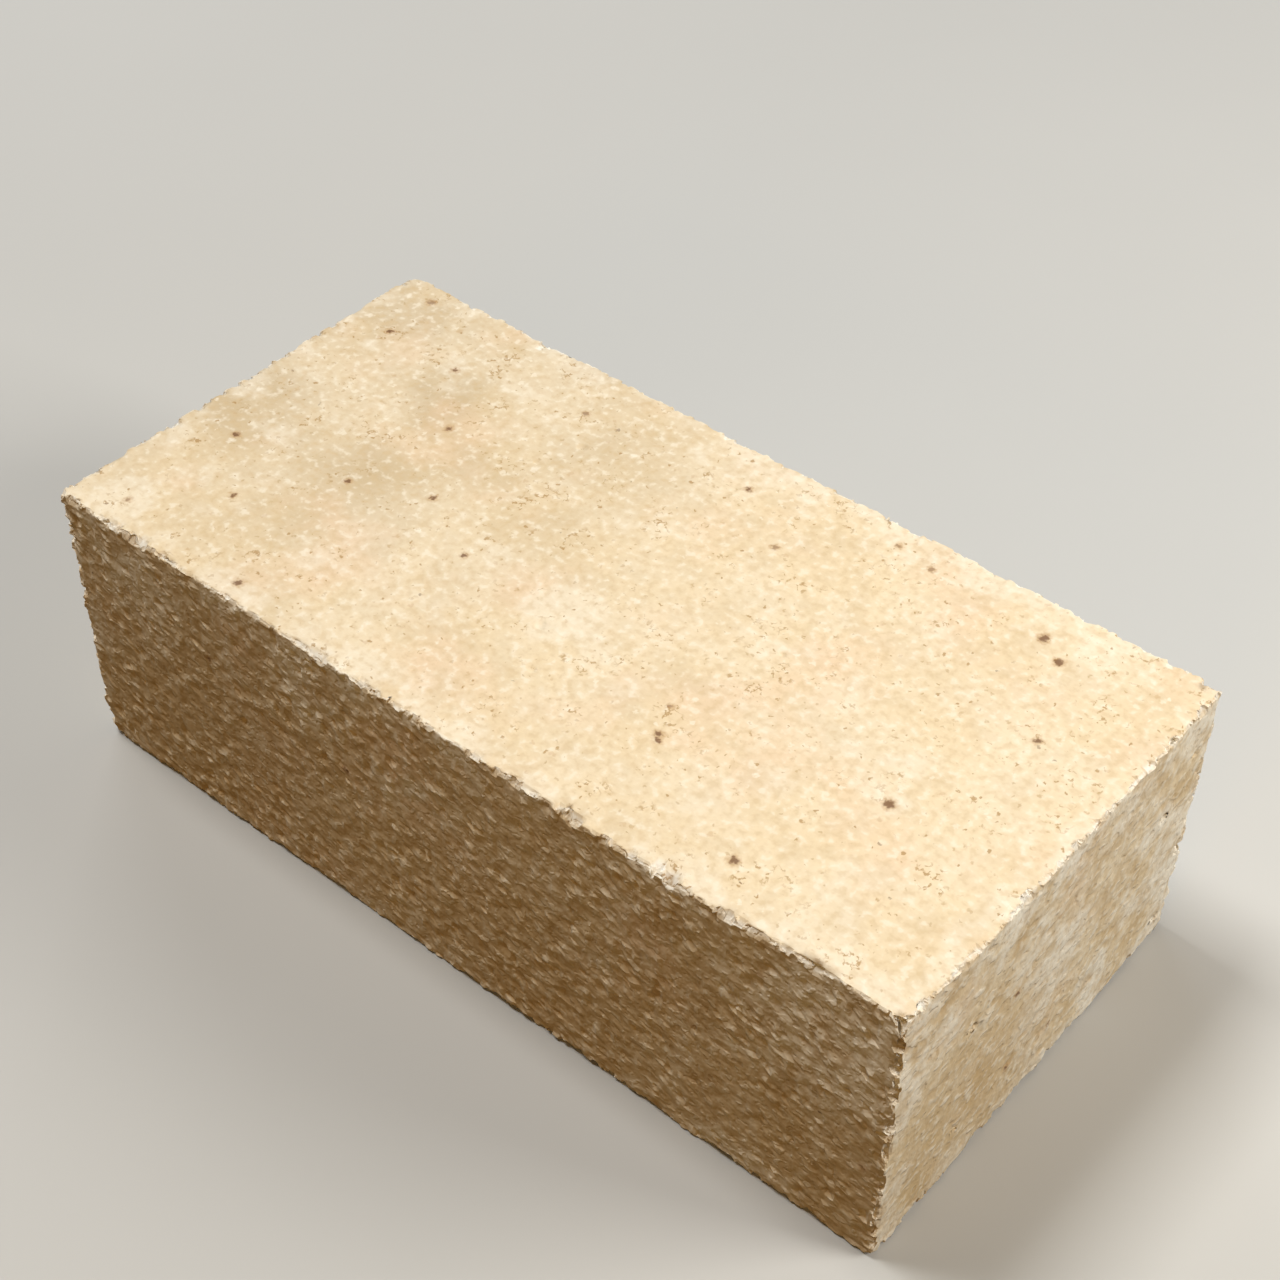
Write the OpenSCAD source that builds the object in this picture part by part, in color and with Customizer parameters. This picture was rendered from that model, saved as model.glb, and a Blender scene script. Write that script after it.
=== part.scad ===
// Dense fireclay brick, the standard 230 x 114 x 75 square, pressed and fired as one piece.
// Millimetres. X runs along the length, Y across the width, and Z up from the bed it lies on.
// The origin is the middle of the lower bed face.

/* [Brick] */
// Length, from header face to header face
brick_length = 230; // [150:1:350]
// Width, from stretcher face to stretcher face
brick_width = 114; // [70:1:180]
// Height, from bed face to bed face
brick_height = 75; // [50:1:120]
// Radius of the rubbed arrises
arris_radius = 0.5; // [0.4:0.1:2.5]

/* [Worn corners] */
// Depth lost at the upper corners: front left, front right, back right, back left
upper_corner_loss = [1.6, 3.2, 1.0, 2.6]; // [1:0.1:4]
// Depth lost at the lower corners, in the same order
lower_corner_loss = [2.6, 1.6, 2.2, 1.8]; // [1:0.1:4]
// Radius of the hollow that the wear leaves at a corner
corner_hollow_radius = 14; // [10:1:30]

/* [Chipped arrises] */
// Distance along an arris that has one chip in it
chip_pitch = 19; // [18:1:60]
// Length of the shortest chip along its arris
chip_span_min = 3.5; // [3:0.5:8]
// Length of the longest chip along its arris
chip_span_max = 10; // [9:0.5:16]
// Depth of the shallowest chip, from the sharp arris
chip_bite_min = 0.7; // [0.7:0.1:1]
// Depth of the deepest chip, from the sharp arris
chip_bite_max = 1.3; // [1.1:0.1:2]
// How far a chip may lean over to one of the two faces, where 1 is all the way
chip_lean_max = 0.4; // [0:0.05:0.5]
// Length of arris next to each corner that has no chip
corner_margin = 9; // [8:0.5:14]
// Which set of chips is drawn
chip_seed = 11; // [1:1:99]

/* [Hidden] */
$fn = 64;

brick_size = [brick_length, brick_width, brick_height];
brick_centre = [0, 0, brick_height / 2];
clay_colour = [0.90, 0.79, 0.60];

// Steps between the seeds that draw the bite, the place and the lean of the chips.
bite_seed_step = 100;
place_seed_step = 200;
lean_seed_step = 300;

// Walking order of the corners, seen from above: front left, front right, back right, back left.
corner_sides = [[-1, -1], [1, -1], [1, 1], [-1, 1]];

// The twelve arrises, as the axis each runs along and the sides of the brick that it lies on.
arrises = [for (axis = [0:2], side_a = [-1, 1], side_b = [-1, 1]) [axis, side_a, side_b]];

// Which side of the brick an arris is on, along X, Y and Z. It is 0 along the arris itself.
function arris_sides(arris) =
    arris[0] == 0 ? [0, arris[1], arris[2]] :
    arris[0] == 1 ? [arris[1], 0, arris[2]] :
                    [arris[1], arris[2], 0];

// Unit vector along an axis, 0 for X, 1 for Y and 2 for Z.
function axis_vector(axis) = [for (i = [0:2]) i == axis ? 1 : 0];

// Point of the sharp box on the given sides, where 0 is the middle of that direction.
function box_point(sides) = brick_centre + [for (i = [0:2]) sides[i] * brick_size[i] / 2];

// Outward direction at an arris, leaned over to the first of its two faces, or to the second if negative.
function leaned_sides(arris, lean) =
    let (sides = arris_sides(arris), signs = [1, arris[0] == 0 ? 1 : -1, -1])
        [for (i = [0:2]) sides[i] * (1 + signs[i] * lean)];

// Radius of the ball that cuts a chip of this span and bite.
function chip_ball_radius(span, bite) = (pow(span / 2, 2) + pow(bite, 2)) / (2 * bite);

// A rectangle with rounded corners, centred.
module rounded_section(size, radius) {
    square([size[0] - 2 * radius, size[1]], center = true);
    square([size[0], size[1] - 2 * radius], center = true);
    for (x = [-1, 1], y = [-1, 1])
        translate([x * (size[0] / 2 - radius), y * (size[1] / 2 - radius)])
            circle(radius);
}

// The pressed block: its three sections meet in arrises of one radius all round.
module pressed_block() {
    translate(brick_centre)
        intersection() {
            linear_extrude(brick_height, center = true)
                rounded_section([brick_length, brick_width], arris_radius);
            rotate([90, 0, 0])
                linear_extrude(brick_width, center = true)
                    rounded_section([brick_length, brick_height], arris_radius);
            rotate([90, 0, 90])
                linear_extrude(brick_length, center = true)
                    rounded_section([brick_width, brick_height], arris_radius);
        }
}

// A ball that bites this deep into the sharp box at a point, coming in along the outward direction.
module scoop(point, outward, radius, bite) {
    translate(point + outward / norm(outward) * (radius - bite))
        sphere(radius);
}

// The chips along one arris, one in each pitch, with a drawn place, span, bite and lean.
module arris_chips(index) {
    arris = arrises[index];
    sides = arris_sides(arris);
    run = brick_size[arris[0]] - 2 * corner_margin;
    count = max(1, floor(run / chip_pitch));
    slot = run / count;
    spans = rands(chip_span_min, chip_span_max, count, chip_seed + index);
    bites = rands(chip_bite_min, chip_bite_max, count, chip_seed + bite_seed_step + index);
    drifts = rands(-1, 1, count, chip_seed + place_seed_step + index);
    leans = rands(-chip_lean_max, chip_lean_max, count, chip_seed + lean_seed_step + index);
    for (i = [0:count - 1]) {
        along = -run / 2 + slot * (i + 0.5) + drifts[i] * (slot - chip_span_max) / 2;
        scoop(
            box_point(sides) + axis_vector(arris[0]) * along,
            leaned_sides(arris, leans[i]),
            chip_ball_radius(spans[i], bites[i]),
            bites[i]
        );
    }
}

// The hollows that wear has left at the four corners of one bed face.
module worn_corners(losses, bed) {
    for (i = [0:3]) {
        sides = [corner_sides[i][0], corner_sides[i][1], bed];
        scoop(box_point(sides), sides, corner_hollow_radius, losses[i]);
    }
}

module brick() {
    color(clay_colour)
        difference() {
            pressed_block();
            worn_corners(upper_corner_loss, 1);
            worn_corners(lower_corner_loss, -1);
            for (index = [0:len(arrises) - 1])
                arris_chips(index);
        }
}

brick();
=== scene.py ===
"""A fireclay brick lying on its bed face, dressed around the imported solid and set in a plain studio."""
import logging
import math
import random
from dataclasses import dataclass
from enum import Enum
from typing import Sequence, Union

import bmesh
import bpy
from mathutils import Matrix, Vector, noise
from mathutils.bvhtree import BVHTree
from mathutils.kdtree import KDTree


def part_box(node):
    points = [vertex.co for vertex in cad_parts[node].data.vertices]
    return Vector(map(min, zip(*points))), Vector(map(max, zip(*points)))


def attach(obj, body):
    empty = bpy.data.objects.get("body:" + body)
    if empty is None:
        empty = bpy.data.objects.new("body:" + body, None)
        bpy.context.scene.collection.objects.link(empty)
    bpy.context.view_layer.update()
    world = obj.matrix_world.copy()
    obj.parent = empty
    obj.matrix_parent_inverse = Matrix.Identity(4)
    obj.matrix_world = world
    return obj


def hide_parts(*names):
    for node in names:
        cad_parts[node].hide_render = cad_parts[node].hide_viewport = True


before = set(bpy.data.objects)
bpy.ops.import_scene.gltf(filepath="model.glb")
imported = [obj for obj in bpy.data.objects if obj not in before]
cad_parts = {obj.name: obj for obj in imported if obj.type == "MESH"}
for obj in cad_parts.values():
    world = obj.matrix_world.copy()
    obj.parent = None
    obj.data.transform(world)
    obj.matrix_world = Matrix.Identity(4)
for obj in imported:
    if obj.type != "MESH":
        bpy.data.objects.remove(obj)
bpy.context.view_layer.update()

log = logging.getLogger("brick")

MM = 0.001
BODY = "root"
NODE = "brick"
SLOT = "fired_clay"

# What a point is multiplied by for each number drawn there, so that the numbers don't follow each other.
GRAIN_DRAW = 29.0
LEAN_DRAW = 37.0
TILT_DRAW = 41.0
CRUMB_DRAW = 53.0
BREAK_DRAW = 59.0

Colour = tuple[float, float, float]
Point = tuple[float, float, float]
Range = tuple[float, float]
Socket = bpy.types.NodeSocket
Value = Union[float, Socket]
Triple = Union[Sequence[float], Socket]


class FaceKind(Enum):
    """The three kinds of face on a brick, by the axis that they look along."""

    HEADER = 0
    STRETCHER = 1
    BED = 2


class Mark(Enum):
    """The numbers that each vertex of the mesh carries for its finish."""

    WEAR = "wear"
    SIDE = "side"
    RIM = "rim"
    GRIT = "grit"


def ease(value: float) -> float:
    """Smooth step of a number, from 0 at 0 and below to 1 at 1 and above."""
    held = min(max(value, 0.0), 1.0)
    return held * held * (3.0 - 2.0 * held)


def unit(value: float) -> float:
    """Bring a number that runs from -1 to 1 to the range from 0 to 1."""
    return 0.5 + 0.5 * value


@dataclass(frozen=True)
class Clouds:
    """Cloudy noise, by the size of its largest clouds and the octaves and strength of the finer ones."""

    size: float
    detail: float = 2.0
    roughness: float = 0.5


class NodeBench:
    """Lays out the shader nodes of one material and joins them."""

    def __init__(self, name: str) -> None:
        """Start a material that has a surface shader and nothing joined to it.

        Args:
            name: Name of the new material.
        """
        self.material = bpy.data.materials.new(name)
        self.material.use_nodes = True
        self.tree = self.material.node_tree
        self.tree.nodes.clear()
        self.shader = self.tree.nodes.new("ShaderNodeBsdfPrincipled")
        output = self.tree.nodes.new("ShaderNodeOutputMaterial")
        self.tree.links.new(self.shader.outputs["BSDF"], output.inputs["Surface"])

    def feed(self, socket: Socket, value: Union[Value, Triple]) -> None:
        """Join a socket to another one, or set its own value.

        Args:
            socket: The input to feed.
            value: An output to join it to, or the value that it takes.
        """
        if isinstance(value, bpy.types.NodeSocket):
            self.tree.links.new(value, socket)
        elif socket.type == "RGBA":
            socket.default_value = (*value, 1.0)
        else:
            socket.default_value = value

    def place(self, size: Sequence[float] = (1.0, 1.0, 1.0),
              turn: Sequence[float] = (0.0, 0.0, 0.0)) -> Socket:
        """Object coordinates in a frame of their own.

        Args:
            size: Length in millimetres that counts as one, along each axis of the turned frame.
            turn: Angles in degrees that the frame is turned by.

        Returns:
            The coordinates.
        """
        source = self.tree.nodes.new("ShaderNodeTexCoord")
        mapping = self.tree.nodes.new("ShaderNodeMapping")
        mapping.vector_type = "TEXTURE"
        mapping.inputs["Rotation"].default_value = [math.radians(value) for value in turn]
        mapping.inputs["Scale"].default_value = [value * MM for value in size]
        self.tree.links.new(source.outputs["Object"], mapping.inputs["Vector"])
        return mapping.outputs["Vector"]

    def clouds(self, place: Socket, clouds: Clouds) -> Socket:
        """Cloudy noise from 0 to 1.

        Args:
            place: Coordinates to read.
            clouds: What the noise is like, with its size in the coordinates' unit.

        Returns:
            The noise.
        """
        node = self.tree.nodes.new("ShaderNodeTexNoise")
        self.feed(node.inputs["Vector"], place)
        self.feed(node.inputs["Scale"], 1.0 / clouds.size)
        self.feed(node.inputs["Detail"], clouds.detail)
        self.feed(node.inputs["Roughness"], clouds.roughness)
        return node.outputs["Fac"]

    def stir(self, place: Socket, size: float, reach: float) -> Socket:
        """Coordinates pushed about by noise, so that what reads them gets ragged outlines.

        Args:
            place: Coordinates to push.
            size: Size of the pushes.
            reach: Length of the strongest push.

        Returns:
            The pushed coordinates.
        """
        node = self.tree.nodes.new("ShaderNodeTexNoise")
        self.feed(node.inputs["Vector"], place)
        self.feed(node.inputs["Scale"], 1.0 / size)
        self.feed(node.inputs["Detail"], 1.0)
        middle = self.vector("SUBTRACT", node.outputs["Color"], (0.5, 0.5, 0.5))
        return self.vector("MULTIPLY_ADD", middle, (2.0 * reach,) * 3, place)

    def cells(self, place: Socket, size: float) -> tuple[Socket, Socket, Socket, Socket]:
        """Scattered points, one in each cell of a grid.

        Args:
            place: Coordinates to read.
            size: Size of a cell.

        Returns:
            Distance from the nearest point, in cells, and three numbers from 0 to 1 drawn for that point.
        """
        node = self.tree.nodes.new("ShaderNodeTexVoronoi")
        self.feed(node.inputs["Vector"], place)
        self.feed(node.inputs["Scale"], 1.0 / size)
        split = self.tree.nodes.new("ShaderNodeSeparateColor")
        self.tree.links.new(node.outputs["Color"], split.inputs["Color"])
        return (node.outputs["Distance"], *split.outputs)

    def math(self, operation: str, first: Value, second: Value = 0.0, third: Value = 0.0) -> Socket:
        """One step of arithmetic.

        Args:
            operation: Name of the step, as the shader editor has it.
            first: First number.
            second: Second number.
            third: Third number, for the steps that have one.

        Returns:
            The answer.
        """
        node = self.tree.nodes.new("ShaderNodeMath")
        node.operation = operation
        for socket, value in zip(node.inputs, (first, second, third)):
            self.feed(socket, value)
        return node.outputs[0]

    def product(self, *values: Value) -> Value:
        """Several numbers multiplied together.

        Args:
            values: The numbers.

        Returns:
            The product.
        """
        answer = values[0]
        for value in values[1:]:
            answer = self.math("MULTIPLY", answer, value)
        return answer

    def vector(self, operation: str, first: Triple, second: Triple,
               third: Triple = (0.0, 0.0, 0.0)) -> Socket:
        """One step of vector arithmetic.

        Args:
            operation: Name of the step, as the shader editor has it.
            first: First vector.
            second: Second vector.
            third: Third vector, for the steps that have one.

        Returns:
            The answer, a number for a distance and a vector for the rest.
        """
        node = self.tree.nodes.new("ShaderNodeVectorMath")
        node.operation = operation
        for socket, value in zip(node.inputs, (first, second, third)):
            self.feed(socket, value)
        return node.outputs["Value" if operation == "DISTANCE" else "Vector"]

    def band(self, value: Value, low: Value, high: Value) -> Socket:
        """A soft threshold.

        Args:
            value: The number to test.
            low: Where the answer is 0.
            high: Where the answer is 1. It may lie below low.

        Returns:
            The output that runs smoothly from 0 to 1.
        """
        node = self.tree.nodes.new("ShaderNodeMapRange")
        node.interpolation_type = "SMOOTHSTEP"
        self.feed(node.inputs["Value"], value)
        self.feed(node.inputs["From Min"], low)
        self.feed(node.inputs["From Max"], high)
        return node.outputs["Result"]

    def span(self, value: Value, low: float, high: float) -> Socket:
        """Stretch a number from 0 to 1 so that it runs from low to high."""
        return self.math("MULTIPLY_ADD", value, high - low, low)

    def blend(self, share: Value, under: Triple, over: Triple) -> Socket:
        """Lay one colour over another.

        Args:
            share: How much of the upper colour shows, from 0 to 1.
            under: Lower colour.
            over: Upper colour.

        Returns:
            The mixed colour.
        """
        node = self.tree.nodes.new("ShaderNodeMix")
        node.data_type = "RGBA"
        share_in, *_, under_in, over_in = (s for s in node.inputs if s.enabled)
        self.feed(share_in, share)
        self.feed(under_in, under)
        self.feed(over_in, over)
        return next(s for s in node.outputs if s.enabled)

    def mark(self, mark: Mark) -> Socket:
        """One of the numbers that the mesh carries.

        Args:
            mark: Which number.

        Returns:
            That number.
        """
        node = self.tree.nodes.new("ShaderNodeAttribute")
        node.attribute_name = mark.value
        return node.outputs["Fac"]

    def bump(self, height: Socket) -> Socket:
        """Surface direction from a height.

        Args:
            height: Height in millimetres.

        Returns:
            The direction.
        """
        node = self.tree.nodes.new("ShaderNodeBump")
        node.inputs["Distance"].default_value = MM
        self.feed(node.inputs["Height"], height)
        return node.outputs["Normal"]


@dataclass(frozen=True)
class Spot:
    """A round place on the brick that has a tone of its own, with its middle and radius in millimetres."""

    place: Point
    radius: float


@dataclass(frozen=True)
class FiredClay:
    """Dry pale fireclay: a cloudy buff ground of tan and white grains, with dark flecks and iron spots."""

    name: str = SLOT
    ground: Colour = (0.810, 0.668, 0.458)
    smoke: Colour = (0.590, 0.468, 0.302)
    blush: Colour = (0.800, 0.605, 0.425)
    # Tan, also the painted shade in the hollows of the fine bump and the painted warm shade of the sides.
    tan: Colour = (0.600, 0.435, 0.235)
    # Whitish bloom and grog, also the painted highlight on the grains of the sides and on the tops of the
    # fine bump.
    frost_and_highlight: Colour = (0.900, 0.835, 0.710)
    fresh: Colour = (0.930, 0.900, 0.830)
    # Dark flecks, also the painted shade in the holes of the sides.
    fleck_and_hole_shade: Colour = (0.400, 0.235, 0.080)
    rust: Colour = (0.480, 0.280, 0.120)
    iron: Colour = (0.120, 0.042, 0.014)
    roughness: float = 0.9
    gloss: float = 0.2
    ragged_size: float = 0.9
    ragged_reach: float = 0.9
    crumbly_clouds: Clouds = Clouds(26.0, 4.0, 0.62)
    crumbly_range: Range = (0.40, 0.62)
    crumbly_share: float = 0.2
    smoke_clouds: Clouds = Clouds(34.0, 3.0)
    smoke_range: Range = (0.36, 0.64)
    smoke_share: Range = (0.42, 1.0)
    smoke_middle: Point = (-98.0, 34.0, 75.0)
    smoke_reach: Range = (125.0, 20.0)
    smoke_near: Range = (0.18, 1.15)
    blush_turn: Point = (20.0, 40.0, 70.0)
    blush_clouds: Clouds = Clouds(30.0, 3.0)
    blush_range: Range = (0.48, 0.70)
    blush_share: float = 0.6
    mottle_clouds: Clouds = Clouds(9.5, 3.0, 0.56)
    mottle_range: Range = (0.42, 0.68)
    mottle_share: float = 0.3
    # Browning of the sides in small clouds: partly the clay's mottle, partly painted warm shade of the sides.
    side_brown_range: Range = (0.44, 0.64)
    side_brown_and_shade_share: float = 0.58
    bottom_brown_depth: Range = (0.60, 0.88)
    soft_edge: Range = (1.0, 0.2)
    bloom_clouds: Clouds = Clouds(14.0, 4.0, 0.6)
    bloom_range: Range = (0.51, 0.70)
    bloom_share: Range = (0.42, 0.95)
    bloom_lift: float = 0.25
    rim_lift: float = 0.14
    wear_range: Range = (0.1, 0.7)
    wear_share: float = 0.9
    grain_clouds: Clouds = Clouds(2.2)
    # Tan in the hollows and white on the tops of the fine bump: partly the clay's grains, partly painted
    # shade and highlight.
    grain_hollows: Range = (0.52, 0.30)
    hollow_share: float = 0.36
    grain_tops: Range = (0.52, 0.72)
    top_share: float = 0.50
    grain_relief: Range = (0.6, 1.1)
    grain_height: float = 0.35
    speck_size: float = 4.6
    grog_cells: Range = (0.0, 0.5)
    grog_radius: float = 0.26
    grog_share: float = 0.8
    dot_cells: Range = (0.65, 1.0)
    dot_radius: float = 0.20
    dot_share: float = 0.45
    fleck_size: float = 2.2
    fleck_cells: Range = (0.40, 0.85)
    fleck_radius: float = 0.29
    fleck_share: Range = (0.75, 0.35)
    least_girth: float = 0.4
    core_girth: float = 0.5
    least_tone: float = 0.45
    crack_paths: Clouds = Clouds(3.0)
    crack_width: Range = (0.045, 0.012)
    crack_turn: Point = (10.0, 30.0, 50.0)
    crack_breaks: Clouds = Clouds(1.6, 1.0)
    crack_pieces: Range = (0.48, 0.58)
    crack_range: Range = (0.47, 0.33)
    crack_wear: float = 0.3
    lump_size: Point = (2.3, 3.8, 1.9)
    lump_turn: Point = (12.0, 0.0, 0.0)
    lump_clouds: Clouds = Clouds(1.0, 1.0, 0.55)
    lump_tops: Range = (0.58, 0.68)
    lump_holes: Range = (0.36, 0.28)
    # How strongly the side relief is painted: a highlight on the grains that stand out and shade in the
    # holes, over the pale grog.
    lump_share: float = 0.8
    grog_and_highlight_share: float = 0.55
    hole_shade_share: float = 0.25
    lump_height: float = 0.14
    iron_cells: Range = (0.5, 0.6)
    iron_radius: float = 0.13
    iron_edge: Range = (1.0, 0.4)
    iron_share: float = 0.75
    faint_share: float = 0.6
    halo_edge: Range = (1.7, 0.7)
    halo_share: float = 0.5
    # Spots that make the end and the front darker towards the bottom.
    bottom_browning_spots: tuple[Spot, ...] = (
        Spot((115, -30, 16), 52), Spot((-80, -57, 6), 75), Spot((22, -57, 0), 62),
    )
    blooms: tuple[Spot, ...] = (
        Spot((115, 2, 37), 16), Spot((115, 22, 14), 12), Spot((115, 54, 30), 28),
        Spot((98, -66, 60), 40), Spot((-92, -66, 62), 32), Spot((-42, -66, 66), 24),
        Spot((-2, -15, 75), 15), Spot((-102, -50, 75), 14),
    )
    iron_spots: tuple[Spot, ...] = (
        Spot((78.3, 45.3, 75), 1.4), Spot((84.6, 41.2, 75), 1.2), Spot((93.5, 19.1, 75), 1.1),
        Spot((80.9, -14.1, 75), 1.4), Spot((66.9, -44.8, 75), 1.2), Spot((1.4, 43.8, 75), 1.0),
        Spot((-101.8, 35.1, 75), 1.1), Spot((-64.7, 16.4, 75), 1.1), Spot((-100, -16.8, 75), 1.1),
        Spot((-61.7, -51.3, 75), 1.2), Spot((-31.4, -13.8, 75), 0.9), Spot((-78.8, 33.7, 75), 1.0),
        Spot((-49.9, -4.1, 75), 1.0), Spot((-68.5, -12.2, 75), 1.0), Spot((-84.2, -32.1, 75), 0.9),
        Spot((34.9, -28.3, 75), 1.2), Spot((36, -29.7, 75), 1.0), Spot((115, -13.3, 43.3), 1.1),
        Spot((115, -11, 16.1), 1.1), Spot((115, 5.4, 14.4), 1.0), Spot((109.9, -57, 27.8), 1.0),
        Spot((-27.9, -57, 44.3), 1.2), Spot((-69.9, -57, 51.5), 1.1),
    )
    faint_spots: tuple[Spot, ...] = (
        Spot((-44.3, 41.1, 75), 1.0), Spot((18, 31.9, 75), 1.0), Spot((48.2, 48.1, 75), 1.0),
        Spot((-102.7, 50.4, 75), 1.2), Spot((38.3, 49.8, 75), 0.9), Spot((-100.7, -48.2, 75), 1.0),
        Spot((31.9, -20.7, 75), 0.8),
    )

    def material(self) -> bpy.types.Material:
        """Make the finish as a shader.

        Returns:
            The material, on object coordinates and the marks of the mesh.
        """
        bench = NodeBench(self.name)
        side = bench.mark(Mark.SIDE)
        place = bench.place()
        ragged = bench.stir(place, self.ragged_size, self.ragged_reach)
        crumbly = bench.band(bench.clouds(place, self.crumbly_clouds), *self.crumbly_range)
        mottle = bench.clouds(place, self.mottle_clouds)
        specks = bench.cells(ragged, self.speck_size)
        grain = bench.clouds(place, self.grain_clouds)
        lumps = self.lumps(bench)
        # Relief of the sides, which the colour follows for its painted highlight and shade.
        grit = bench.math("ADD", bench.product(lumps, side, self.lump_share), bench.mark(Mark.GRIT))

        colour = self.ground_tone(bench, place, mottle)
        colour = self.dust_tone(bench, colour, place, crumbly)
        # Sides browned in small clouds, partly the clay's mottle and partly painted warm shade, and darker
        # towards the bottom.
        colour = bench.blend(bench.product(side, self.side_brown_and_painted_shade(bench, place, mottle)), colour, self.tan)
        # Tan hollows and white tops on the fine bump: partly the clay's grains, partly painted shade and
        # highlight.
        colour = self.grain_tone_and_painted_light(bench, colour, grain)
        colour = self.speck_tone(bench, colour, specks)
        colour = self.fleck_tone(bench, colour, ragged, crumbly, mottle)
        # Painted highlight on the standing grains and painted shade in the holes, over the pale grog.
        colour = self.grog_tone_and_painted_light(bench, colour, grit)
        colour = self.iron_tone(bench, colour, ragged, specks)

        rough = bench.math("MAXIMUM", side, bench.mark(Mark.WEAR))
        fine = bench.product(grain, bench.span(rough, *self.grain_relief), self.grain_height)
        height = bench.math("ADD", fine, bench.product(lumps, side, self.lump_height))
        bench.feed(bench.shader.inputs["Base Color"], colour)
        bench.feed(bench.shader.inputs["Normal"], bench.bump(height))
        bench.feed(bench.shader.inputs["Roughness"], self.roughness)
        bench.feed(bench.shader.inputs["Specular IOR Level"], self.gloss)
        return bench.material

    def ground_tone(self, bench: NodeBench, place: Socket, mottle: Socket) -> Socket:
        """The clay's own tone, with the soft clouds that the fire leaves.

        Args:
            bench: Where the nodes go.
            place: Coordinates in millimetres.
            mottle: Small clouds.

        Returns:
            The new colour.
        """
        near = bench.band(bench.vector("DISTANCE", place, self.smoke_middle), *self.smoke_reach)
        smoke = bench.band(bench.clouds(place, self.smoke_clouds), *self.smoke_range)
        shade = bench.product(bench.span(smoke, *self.smoke_share), bench.span(near, *self.smoke_near))
        colour = bench.blend(shade, self.ground, self.smoke)
        flush = bench.clouds(bench.place(turn=self.blush_turn), self.blush_clouds)
        flushed = bench.product(bench.band(flush, *self.blush_range), self.blush_share)
        colour = bench.blend(flushed, colour, self.blush)
        mottled = bench.product(bench.band(mottle, *self.mottle_range), self.mottle_share)
        return bench.blend(mottled, colour, self.smoke)

    def side_brown_and_painted_shade(self, bench: NodeBench, place: Socket, mottle: Socket) -> Socket:
        """How brown a side is: in small clouds, which are partly the clay's own mottle and partly a painted
        warm shade of the four sides, and darker towards the bottom of the end and the front, in spots that
        each have their place.

        Args:
            bench: Where the nodes go.
            place: Coordinates in millimetres.
            mottle: Small clouds.

        Returns:
            The output, from 0 to 1.
        """
        clouds = bench.band(mottle, *self.side_brown_range)
        middle = bench.band(self.nearest(bench, place, self.bottom_browning_spots), *self.soft_edge)
        browned_low = bench.product(middle, bench.span(clouds, *self.bottom_brown_depth))
        return bench.math("MAXIMUM", bench.product(clouds, self.side_brown_and_shade_share), browned_low)

    def nearest(self, bench: NodeBench, place: Socket, spots: Sequence[Spot]) -> Socket:
        """How far the nearest of some spots is, counted in its own radius.

        Args:
            bench: Where the nodes go.
            place: Coordinates in millimetres.
            spots: The spots.

        Returns:
            The output that is 0 in the middle of a spot and 1 at its edge.
        """
        radii = [bench.product(bench.vector("DISTANCE", place, spot.place), 1.0 / spot.radius)
                 for spot in spots]
        answer = radii[0]
        for value in radii[1:]:
            answer = bench.math("MINIMUM", answer, value)
        return answer

    def dust_tone(self, bench: NodeBench, colour: Socket, place: Socket, crumbly: Socket) -> Socket:
        """Whitish bloom, in patches and along the arrises, and the fresh clay of the breaks.

        Args:
            bench: Where the nodes go.
            colour: Colour of the clay.
            place: Coordinates in millimetres.
            crumbly: Where the face is crumbly, from 0 to 1.

        Returns:
            The new colour.
        """
        patches = bench.clouds(place, self.bloom_clouds)
        middle = bench.band(self.nearest(bench, place, self.blooms), *self.soft_edge)
        by_rim = bench.product(bench.mark(Mark.RIM), self.rim_lift)
        near = bench.math("MAXIMUM", by_rim, bench.product(middle, self.bloom_lift))
        bloom = bench.band(bench.math("ADD", patches, near), *self.bloom_range)
        strength = bench.span(bench.mark(Mark.SIDE), *self.bloom_share)
        loose = bench.product(crumbly, self.crumbly_share)
        share = bench.math("MAXIMUM", bench.product(bloom, strength), loose)
        dusted = bench.blend(share, colour, self.frost_and_highlight)
        worn = bench.product(bench.band(bench.mark(Mark.WEAR), *self.wear_range), self.wear_share)
        return bench.blend(worn, dusted, self.fresh)

    def grain_tone_and_painted_light(self, bench: NodeBench, colour: Socket, grain: Socket) -> Socket:
        """The mosaic of the clay body, laid on the fine bump: tan in the hollows of the grain and white on
        its tops, partly the clay's own grains and partly painted shade in the hollows and a painted highlight
        on the tops.

        Args:
            bench: Where the nodes go.
            colour: Colour of the clay.
            grain: Height of the grain, about 0.5.

        Returns:
            The new colour.
        """
        hollows = bench.product(bench.band(grain, *self.grain_hollows), self.hollow_share)
        tops = bench.product(bench.band(grain, *self.grain_tops), self.top_share)
        return bench.blend(tops, bench.blend(hollows, colour, self.tan), self.frost_and_highlight)

    def speck_tone(self, bench: NodeBench, colour: Socket, specks: Sequence[Socket]) -> Socket:
        """White grog and soft rusty dots.

        Args:
            bench: Where the nodes go.
            colour: Colour of the clay.
            specks: Cells that hold one speck each.

        Returns:
            The new colour.
        """
        grog = self.scatter(bench, specks, self.grog_cells, self.grog_radius)
        colour = bench.blend(bench.product(grog, self.grog_share), colour, self.frost_and_highlight)
        dots = self.scatter(bench, specks, self.dot_cells, self.dot_radius)
        return bench.blend(bench.product(dots, self.dot_share), colour, self.rust)

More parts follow.
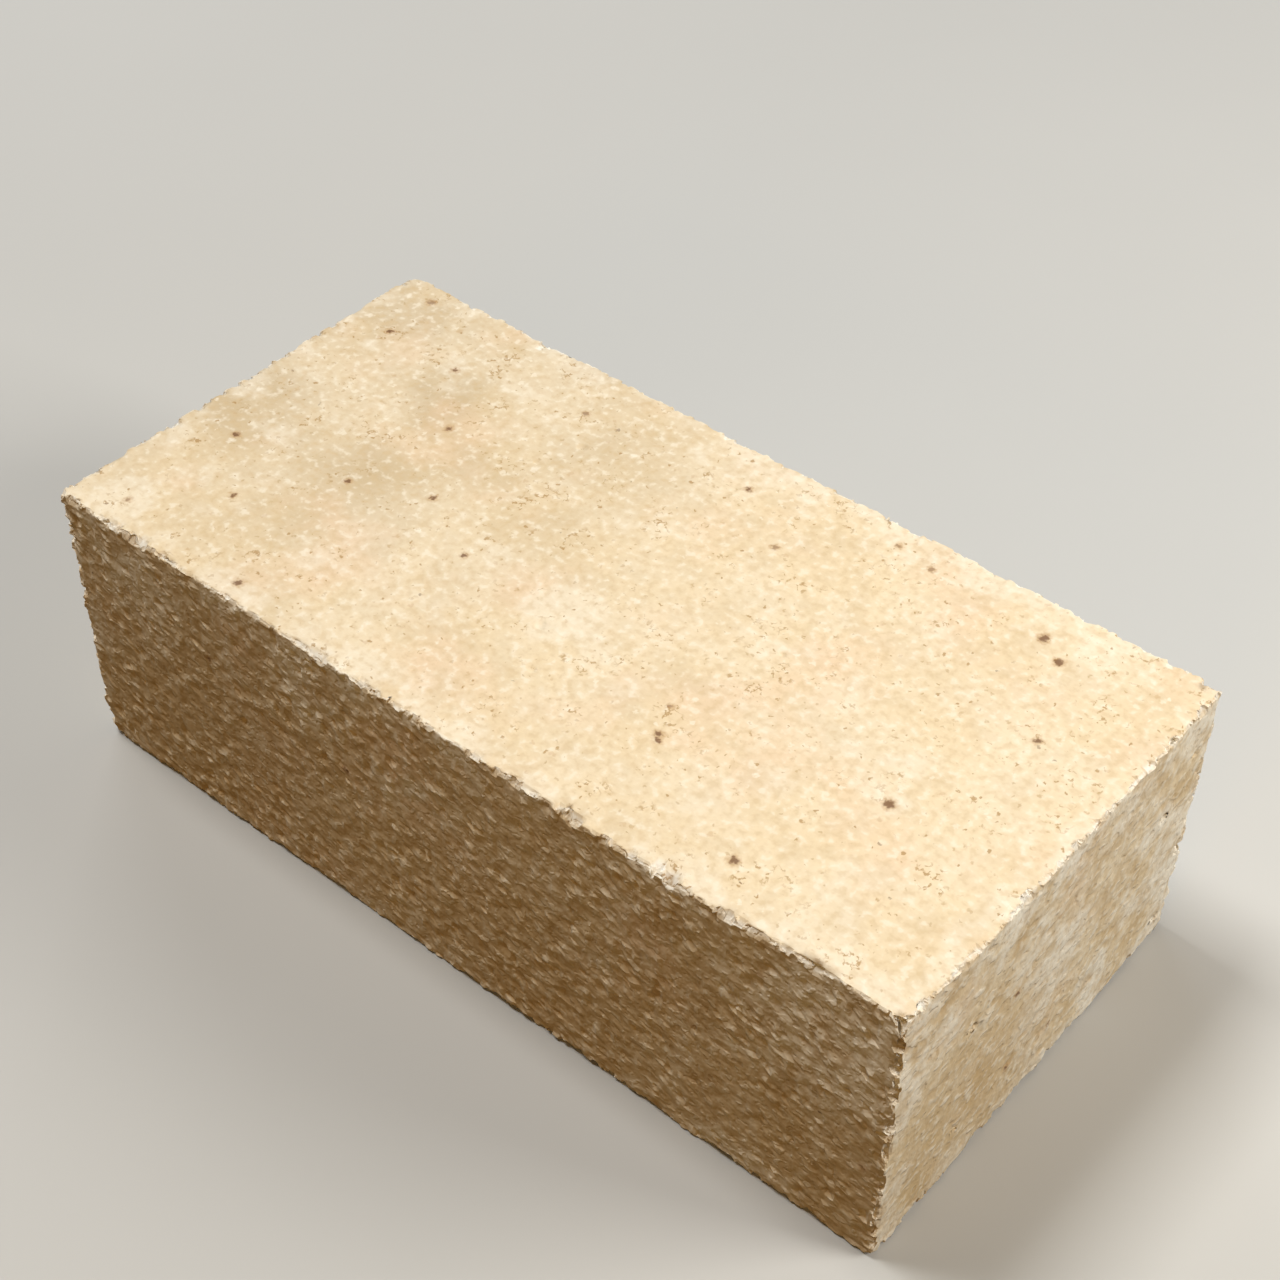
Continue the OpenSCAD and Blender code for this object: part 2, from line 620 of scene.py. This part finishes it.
    def fleck_tone(self, bench: NodeBench, colour: Socket, place: Socket, crumbly: Socket,
                   mottle: Socket) -> Socket:
        """Small dark flecks and cracks, most of them on the beds.

        Args:
            bench: Where the nodes go.
            colour: Colour of the clay.
            place: Coordinates in millimetres, stirred so that the flecks get ragged outlines.
            crumbly: Where the face is crumbly, from 0 to 1.
            mottle: Small clouds.

        Returns:
            The new colour.
        """
        held = (0.0, bench.span(crumbly, *self.fleck_cells))
        flecks = self.scatter(bench, bench.cells(place, self.fleck_size), held, self.fleck_radius)
        dark = bench.math("MAXIMUM", flecks, self.cracks(bench, place, mottle))
        strength = bench.span(bench.mark(Mark.SIDE), *self.fleck_share)
        return bench.blend(bench.product(dark, strength), colour, self.fleck_and_hole_shade)

    def cracks(self, bench: NodeBench, place: Socket, mottle: Socket) -> Socket:
        """Short curved cracks, in clusters where the skin of a face has opened.

        Args:
            bench: Where the nodes go.
            place: Coordinates in millimetres.
            mottle: Small clouds.

        Returns:
            The output that is 1 in a crack and 0 outside.
        """
        path = bench.math("ABSOLUTE", bench.math("SUBTRACT", bench.clouds(place, self.crack_paths), 0.5))
        line = bench.band(path, *self.crack_width)
        breaks = bench.clouds(bench.place(turn=self.crack_turn), self.crack_breaks)
        broken = bench.band(breaks, *self.crack_pieces)
        worn = bench.product(bench.mark(Mark.WEAR), self.crack_wear)
        opened = bench.math("MAXIMUM", bench.band(mottle, *self.crack_range), worn)
        return bench.product(line, broken, opened)

    def lumps(self, bench: NodeBench) -> Socket:
        """Grains that stand out of the four sides and the holes between them.

        Args:
            bench: Where the nodes go.

        Returns:
            The output that is 1 on a grain, 0 on the flat and -1 in a hole.
        """
        field = bench.clouds(bench.place(self.lump_size, self.lump_turn), self.lump_clouds)
        return bench.math("SUBTRACT", bench.band(field, *self.lump_tops), bench.band(field, *self.lump_holes))

    def grog_tone_and_painted_light(self, bench: NodeBench, colour: Socket, lumps: Socket) -> Socket:
        """Pale grains and dark holes on the sides: partly pale grog, partly a painted highlight on the grains
        that stand out and painted shade in the holes between them.

        Args:
            bench: Where the nodes go.
            colour: Colour of the clay.
            lumps: 1 on a grain, 0 on the flat and -1 in a hole.

        Returns:
            The new colour.
        """
        pale = bench.math("MINIMUM", bench.math("MAXIMUM", lumps, 0.0), 1.0)
        dark = bench.math("MINIMUM", bench.math("MAXIMUM", bench.product(lumps, -1.0), 0.0), 1.0)
        colour = bench.blend(bench.product(pale, self.grog_and_highlight_share), colour, self.frost_and_highlight)
        return bench.blend(bench.product(dark, self.hole_shade_share), colour, self.fleck_and_hole_shade)

    def iron_tone(self, bench: NodeBench, colour: Socket, place: Socket, specks: Sequence[Socket]) -> Socket:
        """The iron spots: those that stand out, each in its place, and small ones scattered all over.

        Args:
            bench: Where the nodes go.
            colour: Colour of the clay.
            place: Coordinates in millimetres, stirred so that the spots get ragged outlines.
            specks: Cells that hold one speck each.

        Returns:
            The new colour.
        """
        dark = self.nearest(bench, place, self.iron_spots)
        faint = self.nearest(bench, place, self.faint_spots)
        halo = bench.band(bench.math("MINIMUM", dark, faint), *self.halo_edge)
        small = self.scatter(bench, specks, self.iron_cells, self.iron_radius)
        weak = bench.product(bench.band(faint, *self.iron_edge), self.faint_share)
        spot = bench.math("MAXIMUM", bench.band(dark, *self.iron_edge), weak)
        share = bench.product(bench.math("MAXIMUM", spot, small), self.iron_share)
        colour = bench.blend(bench.product(halo, self.halo_share), colour, self.rust)
        return bench.blend(share, colour, self.iron)

    def scatter(self, bench: NodeBench, cells: Sequence[Socket], share: tuple[float, Value],
                radius: float) -> Socket:
        """Scattered round flecks, some of them fainter than others.

        Args:
            bench: Where the nodes go.
            cells: Cells that may hold one fleck each.
            share: The cells that hold one, from 0 for the first to 1 for the last.
            radius: Radius of the largest fleck, in cells.

        Returns:
            The output that is up to 1 inside a fleck and 0 outside.
        """
        distance, chance, girth, faint = cells
        first, last = share
        held = bench.product(bench.math("GREATER_THAN", chance, first), bench.math("LESS_THAN", chance, last))
        edge = bench.span(girth, self.least_girth * radius, radius)
        inside = bench.band(distance, edge, bench.product(edge, self.core_girth))
        return bench.product(inside, held, bench.span(faint, self.least_tone, 1.0))


@dataclass(frozen=True)
class PaleFloor:
    """Matt pale studio board with a trace of mottle."""

    name: str = "pale_floor"
    tone: Colour = (0.55, 0.55, 0.54)
    mottle: Colour = (0.52, 0.52, 0.51)
    mottle_clouds: Clouds = Clouds(160.0, 3.0)
    roughness: float = 0.95
    gloss: float = 0.1

    def material(self) -> bpy.types.Material:
        """Make the finish as a shader.

        Returns:
            The material, on object coordinates.
        """
        bench = NodeBench(self.name)
        patches = bench.clouds(bench.place(), self.mottle_clouds)
        bench.feed(bench.shader.inputs["Base Color"], bench.blend(patches, self.tone, self.mottle))
        bench.feed(bench.shader.inputs["Roughness"], self.roughness)
        bench.feed(bench.shader.inputs["Specular IOR Level"], self.gloss)
        return bench.material


@dataclass(frozen=True)
class Pit:
    """A hole that a lost grain leaves in a face."""

    place: Vector
    radius: float
    depth: float


@dataclass(frozen=True)
class Crumbs:
    """Loose bits of one size along the arrises, and the most that one of them takes away with it."""

    size: float
    depth: float


@dataclass
class ClayBrick:
    """The brick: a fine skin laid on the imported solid, then crumbled along the arrises and pitted."""

    low: Vector
    high: Vector
    finish: FiredClay
    face_steps: Point = (2.3 * MM, 2.3 * MM, 2.0 * MM)
    fine_bands: tuple[float, ...] = (3.4 * MM, 1.6 * MM, 0.55 * MM)
    weld_reach: float = 1e-7
    grid_shift: float = 0.28 * MM
    grid_seed: int = 3
    turn_reach: float = 3.0 * MM
    rim_reach: float = 13.0 * MM
    full_wear: float = 1.2 * MM
    bed_tilt: float = 0.95
    front_tilt: float = 0.5
    arris_slack: float = 0.25
    crumbs: tuple[Crumbs, ...] = (
        Crumbs(6.0 * MM, 0.8 * MM),
        Crumbs(2.4 * MM, 1.2 * MM),
        Crumbs(1.2 * MM, 0.6 * MM),
    )
    crumb_chance: float = 1.5
    crumb_held: float = 0.5
    crumb_dome: float = 0.3
    crumb_ramp: float = 0.55
    crumb_wall: float = 0.85
    crisp_stretch: float = 16.0 * MM
    crisp_level: float = 0.75
    crisp_swing: float = 0.6
    crisp_least: float = 0.4
    upright_loss: float = 1.2
    chip_bite: float = 0.6 * MM
    chip_edge: float = 0.5
    chip_fill: float = 0.5
    fracture_size: float = 2.0 * MM
    fracture_depth: float = 0.8 * MM
    fracture_step: float = 0.5
    slump_place: Point = (100.0 * MM, -57.0 * MM, 76.0 * MM)
    slump_reach: float = 34.0 * MM
    slump_depth: float = 1.5 * MM
    header_relief: float = 0.75
    quiet_relief: float = 0.38
    grit_sizes: Range = (3.6 * MM, 2.2 * MM)
    grit_stretch: Point = (0.85, 1.4, 0.85)
    grit_patch: float = 21.0 * MM
    grit_crowd: float = 0.3
    grit_sparse: float = 0.62
    grit_soft: float = 0.3
    grit_dome: float = 1.7
    grit_fall: float = 3.0
    grit_depth: float = 0.62 * MM
    grit_level: float = 0.5
    grit_lift: float = 0.7
    wave_size: float = 3.0 * MM
    wave_heights: Range = (0.35, 0.20)
    wave_ratio: float = 2.3
    side_sway: float = 2.0
    sway_size: float = 38.0 * MM
    sway_depth: float = 0.10 * MM
    ripple_size: float = 5.0 * MM
    ripple_fractal: tuple[float, float, int] = (1.0, 2.0, 3)
    ripple_depth: float = 0.10 * MM
    pit_count: int = 40
    pit_radius: Range = (0.8 * MM, 1.7 * MM)
    pit_hollow: Range = (0.3, 0.55)
    pit_margin: float = 5.0 * MM
    pit_skirt: float = 1.3
    pit_edge: float = 1.25
    pit_ragged: float = 0.35
    pit_notch: float = 0.8
    pit_seed: int = 7

    def build(self) -> bpy.types.Object:
        """Model the brick and dress it.

        Returns:
            The finished piece.
        """
        solid = self.solid()
        pits = self.scatter_pits()
        skin = self.blank()
        self.refine(skin, pits, solid)
        self.break_up(skin)
        self.shape(skin, pits, solid)
        data = bpy.data.meshes.new("clay_brick")
        skin.to_mesh(data)
        skin.free()
        piece = bpy.data.objects.new("clay_brick", data)
        bpy.context.scene.collection.objects.link(piece)
        data.materials.append(self.finish.material())
        return piece

    def middle(self) -> Vector:
        """The middle of the sharp box."""
        return (self.low + self.high) / 2

    def gaps(self, point: Vector) -> list[float]:
        """Distance of a point from the nearer of the two faces that look along each axis."""
        return [min(point[i] - self.low[i], self.high[i] - point[i]) for i in range(3)]

    def arris_gap(self, point: Vector) -> float:
        """Distance from a point of the sharp box to its nearest arris."""
        return sorted(self.gaps(point))[1]

    def face(self, point: Vector) -> FaceKind:
        """The kind of face that a point of the sharp box is on."""
        gaps = self.gaps(point)
        return FaceKind(gaps.index(min(gaps)))

    def on_side(self, point: Vector) -> bool:
        """Whether a point of the sharp box is on one of the four sides."""
        return self.face(point) is not FaceKind.BED

    def on_arris(self, point: Vector) -> Vector:
        """Bring a point of the sharp box most of the way to the arris next to it.

        Args:
            point: Point on the sharp box.

        Returns:
            The moved point.
        """
        middle = self.middle()
        faces = [self.low[i] if point[i] < middle[i] else self.high[i] for i in range(3)]
        near = [face if gap < self.turn_reach else value
                for face, gap, value in zip(faces, self.gaps(point), point)]
        return Vector(near).lerp(point, self.arris_slack)

    def scatter_pits(self) -> list[Pit]:
        """Draw the pits of all six faces.

        Returns:
            The pits, which keep clear of the arrises.
        """
        draw = random.Random(self.pit_seed)
        size = self.high - self.low
        kinds = list(FaceKind)
        areas = [size.x * size.y * size.z / size[kind.value] for kind in kinds]
        pits = []
        for _ in range(self.pit_count):
            axis = draw.choices(kinds, areas)[0].value
            place = Vector([draw.uniform(low + self.pit_margin, high - self.pit_margin)
                            for low, high in zip(self.low, self.high)])
            place[axis] = draw.choice((self.low, self.high))[axis]
            radius = draw.uniform(*self.pit_radius)
            pits.append(Pit(place, radius, radius * draw.uniform(*self.pit_hollow)))
        return pits

    def blank(self) -> bmesh.types.BMesh:
        """A sharp box of the brick's size with an even grid on its faces.

        Returns:
            The box.
        """
        size = self.high - self.low
        skin = bmesh.new()
        for mark in Mark:
            skin.verts.layers.float.new(mark.value)
        bmesh.ops.create_cube(skin, size=1.0)
        bmesh.ops.scale(skin, vec=size, verts=skin.verts)
        bmesh.ops.translate(skin, vec=self.middle(), verts=skin.verts)
        for axis in range(3):
            along = [edge for edge in skin.edges
                     if abs(edge.verts[0].co[axis] - edge.verts[1].co[axis]) > size[axis] / 2]
            cuts = round(size[axis] / self.face_steps[axis]) - 1
            bmesh.ops.subdivide_edges(skin, edges=along, cuts=cuts, use_grid_fill=True)
        return skin

    def solid(self) -> BVHTree:
        """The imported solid, to find the nearest point on it.

        Returns:
            The tree of its faces.
        """
        shell = bmesh.new()
        shell.from_mesh(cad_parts[NODE].data)
        bmesh.ops.remove_doubles(shell, verts=shell.verts, dist=self.weld_reach)
        tree = BVHTree.FromBMesh(shell)
        shell.free()
        return tree

    def refine(self, skin: bmesh.types.BMesh, pits: Sequence[Pit], solid: BVHTree) -> None:
        """Halve the grid of the sides, then again by the arrises, in the chips and round the pits.

        Args:
            skin: The box.
            pits: The pits that the grid has to show.
            solid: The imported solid, with its chips.
        """
        tree = self.pit_tree(pits)
        last = len(self.fine_bands) - 1
        for level, band in enumerate(self.fine_bands):
            margin = band if level < last else 0.0
            fine = set()
            for vert in skin.verts:
                _, index, distance = tree.find(vert.co)
                by_pit = distance < self.pit_skirt * pits[index].radius + margin
                by_arris = self.arris_gap(vert.co) < band or solid.find_nearest(vert.co)[3] > self.chip_bite
                if by_arris or by_pit or level == 0 and self.on_side(vert.co):
                    fine.add(vert)
            edges = [edge for edge in skin.edges if fine.issuperset(edge.verts)]
            bmesh.ops.subdivide_edges(skin, edges=edges, cuts=1, use_grid_fill=True, use_single_edge=True)

    def break_up(self, skin: bmesh.types.BMesh) -> None:
        """Break up the even grid of the sides by small shifts, and leave the points near an arris.

        Args:
            skin: The box.
        """
        draw = random.Random(self.grid_seed)
        for vert in skin.verts:
            if self.on_side(vert.co) and self.arris_gap(vert.co) > self.fine_bands[0]:
                shift = Vector([draw.uniform(-self.grid_shift, self.grid_shift) for _ in range(3)])
                shift[self.face(vert.co).value] = 0.0
                vert.co += shift

    def shape(self, skin: bmesh.types.BMesh, pits: Sequence[Pit], solid: BVHTree) -> None:
        """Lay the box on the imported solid, break its surface and mark each vertex for the finish.

        Args:
            skin: The box, which becomes the brick.
            pits: The pits to press in.
            solid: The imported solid, which gives its arrises, chips and worn corners.
        """
        self.mark_faces(skin)
        wear, grit = (skin.verts.layers.float[mark.value] for mark in (Mark.WEAR, Mark.GRIT))
        tree = self.pit_tree(pits)
        for vert in skin.verts:
            sharp = vert.co.copy()
            laid = solid.find_nearest(sharp)[0]
            pit = self.pit_depth(sharp, pits[tree.find(sharp)[1]])
            side = self.side_depth(laid, vert[grit]) + pit
            pressed = self.pressed_in(sharp, side, self.bed_depth(laid) + pit)
            broken = self.broken(sharp, laid)
            vert.co = broken + pressed
            vert[wear] = min((broken - sharp).length / self.full_wear, 1.0)
        self.soften(skin)

    def soften(self, skin: bmesh.types.BMesh) -> None:
        """Shade the faces smoothly, apart from the arrises and the rough front, which stay in flats.

        Args:
            skin: The brick.
        """
        skin.normal_update()
        for face in skin.faces:
            bed = abs(face.normal.z) > self.bed_tilt
            front = face.normal.y < -self.front_tilt
            inner = self.arris_gap(face.calc_center_median()) > self.turn_reach
            face.smooth = bed or inner and not front

    def mark_faces(self, skin: bmesh.types.BMesh) -> None:
        """Mark which vertices are on the four sides, their grains, and how near each is to an arris.

        Args:
            skin: The box.
        """
        side, rim, grit = (skin.verts.layers.float[mark.value] for mark in (Mark.SIDE, Mark.RIM, Mark.GRIT))
        for vert in skin.verts:
            vert[side] = float(self.on_side(vert.co))
            vert[rim] = 1.0 - ease(self.arris_gap(vert.co) / self.rim_reach)
            vert[grit] = vert[side] * self.grain(vert.co)

    def grain(self, point: Vector) -> float:
        """A coarse grain at a point of a side.

        Args:
            point: Point on the sharp box.

        Returns:
            Up to 1 where a grain stands out, and down to -1 where one has gone.
        """
        crowd = self.grit_crowd * noise.noise(point / self.grit_patch)
        stretched = Vector([value / stretch for value, stretch in zip(point, self.grit_stretch)])
        tallest = 0.0
        for size in self.grit_sizes:
            distances, centres = noise.voronoi(stretched / size)
            drawn = noise.cell(centres[0] * GRAIN_DRAW)
            kept = ease((abs(drawn) - self.grit_sparse + crowd) / self.grit_soft)
            tall = kept * ease(self.grit_dome - self.grit_fall * distances[0])
            if tall > abs(tallest):
                tallest = math.copysign(tall, drawn)
        return tallest

    def bed_depth(self, point: Vector) -> float:
        """How far a face lies below the box at a point, from the sway and the ripple of the clay.

        Args:
            point: Point of the solid.

        Returns:
            The depth, which is never negative.
        """
        sway = unit(noise.noise(point / self.sway_size))
        ripple = unit(noise.fractal(point / self.ripple_size, *self.ripple_fractal))
        return self.sway_depth * sway + self.ripple_depth * max(ripple, 0.0)

    def side_depth(self, point: Vector, grain: float) -> float:
        """How far a side lies below the box at a point.

        Args:
            point: Point of the solid.
            grain: The loose grain there, from -1 to 1.

        Returns:
            The depth, which is never negative, so that the brick keeps inside its box.
        """
        near = point / self.wave_size
        long, short = self.wave_heights
        waves = long * noise.noise(near) + short * noise.noise(near * self.wave_ratio)
        sunk = self.grit_depth * (self.grit_level - waves - self.grit_lift * grain)
        rough = self.relief(point) * max(sunk, 0.0)
        slumped = ease(1.0 - (point - Vector(self.slump_place)).length / self.slump_reach)
        return self.side_sway * self.bed_depth(point) + rough + self.slump_depth * slumped

    def relief(self, point: Vector) -> float:
        """How strong the grains are on the side that a point is on.

        Args:
            point: Point of the solid.

        Returns:
            The share of the front stretcher's relief, which is the strongest.
        """
        if self.face(point) is FaceKind.HEADER:
            return self.header_relief if point.x > 0.0 else self.quiet_relief
        return self.quiet_relief if point.y > 0.0 else 1.0

    def pit_tree(self, pits: Sequence[Pit]) -> KDTree:
        """The pits, to find the nearest one to a point.

        Args:
            pits: The pits.

        Returns:
            The tree of their middles.
        """
        tree = KDTree(len(pits))
        for index, pit in enumerate(pits):
            tree.insert(pit.place, index)
        tree.balance()
        return tree

    def pit_depth(self, point: Vector, pit: Pit) -> float:
        """How deep a pit is at a point."""
        ragged = pit.radius * (1.0 + self.pit_ragged * noise.noise(point / (self.pit_notch * pit.radius)))
        return pit.depth * ease(self.pit_edge - (point - pit.place).length / ragged)

    def pressed_in(self, point: Vector, side: float, bed: float) -> Vector:
        """Step into the clay across the faces that a point of the sharp box is on or next to.

        Args:
            point: Point on the sharp box.
            side: Depth of the step across the four sides.
            bed: Depth of the step across the two beds.

        Returns:
            The step.
        """
        middle = self.middle()
        shares = [1.0 - ease(gap / self.turn_reach) for gap in self.gaps(point)]
        return Vector([math.copysign(share * depth, middle[i] - point[i])
                       for i, (share, depth) in enumerate(zip(shares, (side, side, bed)))])

    def broken(self, sharp: Vector, laid: Vector) -> Vector:
        """Crumble the arrises and roughen the chips.

        Args:
            sharp: Point on the sharp box.
            laid: Point of the solid that belongs to it.

        Returns:
            The point of the crumbled surface, which is never outside the sharp box.
        """
        bite = laid - sharp
        gaps = self.gaps(sharp)
        near = [axis for axis in range(3) if gaps[axis] < self.turn_reach]
        if len(near) < 2 and bite.length == 0.0:
            return laid
        middle = self.middle()
        depths = self.crumbled(self.on_arris(sharp), near)
        face = self.face(sharp).value
        chipped = ease(bite.length / self.chip_bite - self.chip_edge)
        rough = max(self.fractured(laid) * chipped, -self.chip_fill * bite.length)
        point = laid + bite.normalized() * rough
        for axis in near:
            held = self.crumb_ramp * sorted(gaps)[1] if axis == face else self.crumb_wall * gaps[axis]
            lost = depths[axis] - held
            if lost > abs(point[axis] - sharp[axis]):
                point[axis] = sharp[axis] + math.copysign(lost, middle[axis] - sharp[axis])
        return point

    def fractured(self, point: Vector) -> float:
        """How far a break goes in at a point, where each grain ends in a flat with a tilt of its own.

        Args:
            point: Point of the solid.

        Returns:
            The depth, which is negative where a grain stands out.
        """
        near = point / self.fracture_size
        centre = noise.voronoi(near)[1][0]
        tilt = 2.0 * noise.cell_vector(centre * TILT_DRAW) - Vector((1.0, 1.0, 1.0))
        step = self.fracture_step * noise.cell(centre * BREAK_DRAW)
        return self.fracture_depth * (step + tilt.dot(near - centre))

    def crumbled(self, point: Vector, axes: Sequence[int]) -> list[float]:
        """How far the crumbs have gone at a point of an arris.

        Args:
            point: Point next to the arris.
            axes: The axes that a crumb there may come away along.

        Returns:
            The depth along each of the three axes.
        """
        depths = [0.0, 0.0, 0.0]
        swing = self.crisp_swing * noise.noise(point / self.crisp_stretch)
        crisp = max(self.crisp_level + swing, self.crisp_least)
        if FaceKind.BED.value not in axes:
            crisp *= self.upright_loss
        for crumb in self.crumbs:
            distances, centres = noise.voronoi(point / crumb.size)
            leans = noise.cell_vector(centres[0] * LEAN_DRAW)
            drawn = unit(noise.cell(centres[0] * CRUMB_DRAW))
            axis = max(axes, key=lambda item: leans[item])
            dome = self.crumb_dome * min(distances[0], 1.0) ** 2
            depths[axis] += crisp * crumb.depth * (ease(self.crumb_chance * drawn - self.crumb_held) + dome)
        return depths


@dataclass(frozen=True)
class StudioFloor:
    """A wide round board that the brick lies on."""

    finish: PaleFloor
    radius: float = 6.0
    sides: int = 96

    def lay(self) -> bpy.types.Object:
        """Make the board with its upper face at the height of the brick's lower bed.

        Returns:
            The board, which is part of the stage.
        """
        board = bmesh.new()
        bmesh.ops.create_circle(board, cap_ends=True, segments=self.sides, radius=self.radius)
        data = bpy.data.meshes.new("floor")
        board.to_mesh(data)
        board.free()
        floor = bpy.data.objects.new("floor", data)
        bpy.context.scene.collection.objects.link(floor)
        data.materials.append(self.finish.material())
        floor.visible_diffuse = False
        return floor


@dataclass(frozen=True)
class SoftBox:
    """A square studio light that looks at the brick, with its place and size in metres."""

    name: str
    place: Point
    size: float
    watts: float
    tint: Colour = (1.0, 1.0, 1.0)
    aim: Point = (0.0, 0.0, 0.04)

    def hang(self) -> bpy.types.Object:
        """Hang the light.

        Returns:
            The light.
        """
        data = bpy.data.lights.new(self.name, "AREA")
        data.shape = "SQUARE"
        data.size = self.size
        data.energy = self.watts
        data.color = self.tint
        light = bpy.data.objects.new(self.name, data)
        light.location = self.place
        light.rotation_euler = (Vector(self.aim) - Vector(self.place)).to_track_quat("-Z", "Y").to_euler()
        bpy.context.scene.collection.objects.link(light)
        return light


@dataclass(frozen=True)
class Studio:
    """The lights, and the pale air behind the floor."""

    boxes: tuple[SoftBox, ...] = (
        SoftBox("key", (-1.20, -0.25, 3.00), 1.0, 78.5, (1.0, 0.985, 0.94)),
        SoftBox("header_fill", (0.72, 0.36, 0.50), 0.4, 6.7, (1.0, 0.955, 0.875)),
        SoftBox("stretcher_glow", (0.35, -1.20, 0.45), 0.4, 3.0, (1.0, 0.57, 0.15)),
        SoftBox("back_fill", (-1.30, 0.90, 0.80), 0.8, 7.0),
    )
    air: Colour = (0.86, 0.86, 0.85)
    haze: float = 0.03

    def light(self) -> None:
        """Hang the lights and set the air."""
        for box in self.boxes:
            box.hang()
        scene = bpy.context.scene
        scene.view_settings.view_transform = "Standard"
        scene.world = bpy.data.worlds.new("studio_air")
        scene.world.use_nodes = True
        tree = scene.world.node_tree
        background = tree.nodes["Background"]
        background.inputs["Color"].default_value = (*self.air, 1.0)
        path = tree.nodes.new("ShaderNodeLightPath")
        strength = tree.nodes.new("ShaderNodeMapRange")
        strength.inputs["To Min"].default_value = self.haze
        tree.links.new(path.outputs["Is Camera Ray"], strength.inputs["Value"])
        tree.links.new(strength.outputs["Result"], background.inputs["Strength"])


@dataclass(frozen=True)
class Portrait:
    """The camera, placed where the brick's corners fall as they do in the photograph."""

    place: Point = (0.2248, -0.2655, 0.3836)
    aim: Point = (0.0068, 0.0046, 0.0375)
    roll: float = 1.07
    lens: float = 61.37
    sensor: float = 36.0
    shift: Range = (-0.0098, 0.0573)
    clip: float = 0.01

    def mount(self) -> bpy.types.Object:
        """Put up the camera and make it the scene's own.

        Returns:
            The camera.
        """
        data = bpy.data.cameras.new("camera")
        data.sensor_width = self.sensor
        data.lens = self.lens
        data.shift_x, data.shift_y = self.shift
        data.clip_start = self.clip
        camera = bpy.data.objects.new("camera", data)
        look = (Vector(self.aim) - Vector(self.place)).to_track_quat("-Z", "Y").to_matrix().to_4x4()
        turn = Matrix.Rotation(math.radians(self.roll), 4, "Z")
        camera.matrix_world = Matrix.Translation(self.place) @ look @ turn
        bpy.context.scene.collection.objects.link(camera)
        bpy.context.scene.camera = camera
        return camera


def report(piece: bpy.types.Object) -> None:
    """Log a piece's name, size and number of triangles.

    Args:
        piece: The piece.
    """
    piece.data.calc_loop_triangles()
    size = " x ".join(f"{value / MM:.1f}" for value in piece.dimensions)
    log.info("%s: %s mm, %d triangles", piece.name, size, len(piece.data.loop_triangles))


def main() -> None:
    """Build the brick, lay the floor and set up the lights and the camera."""
    logging.basicConfig(level=logging.INFO, format="%(name)s: %(message)s")
    low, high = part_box(NODE)
    piece = ClayBrick(low, high, FiredClay()).build()
    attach(piece, BODY)
    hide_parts(NODE)
    report(piece)
    report(StudioFloor(PaleFloor()).lay())
    Studio().light()
    Portrait().mount()


if __name__ == "__main__":
    main()
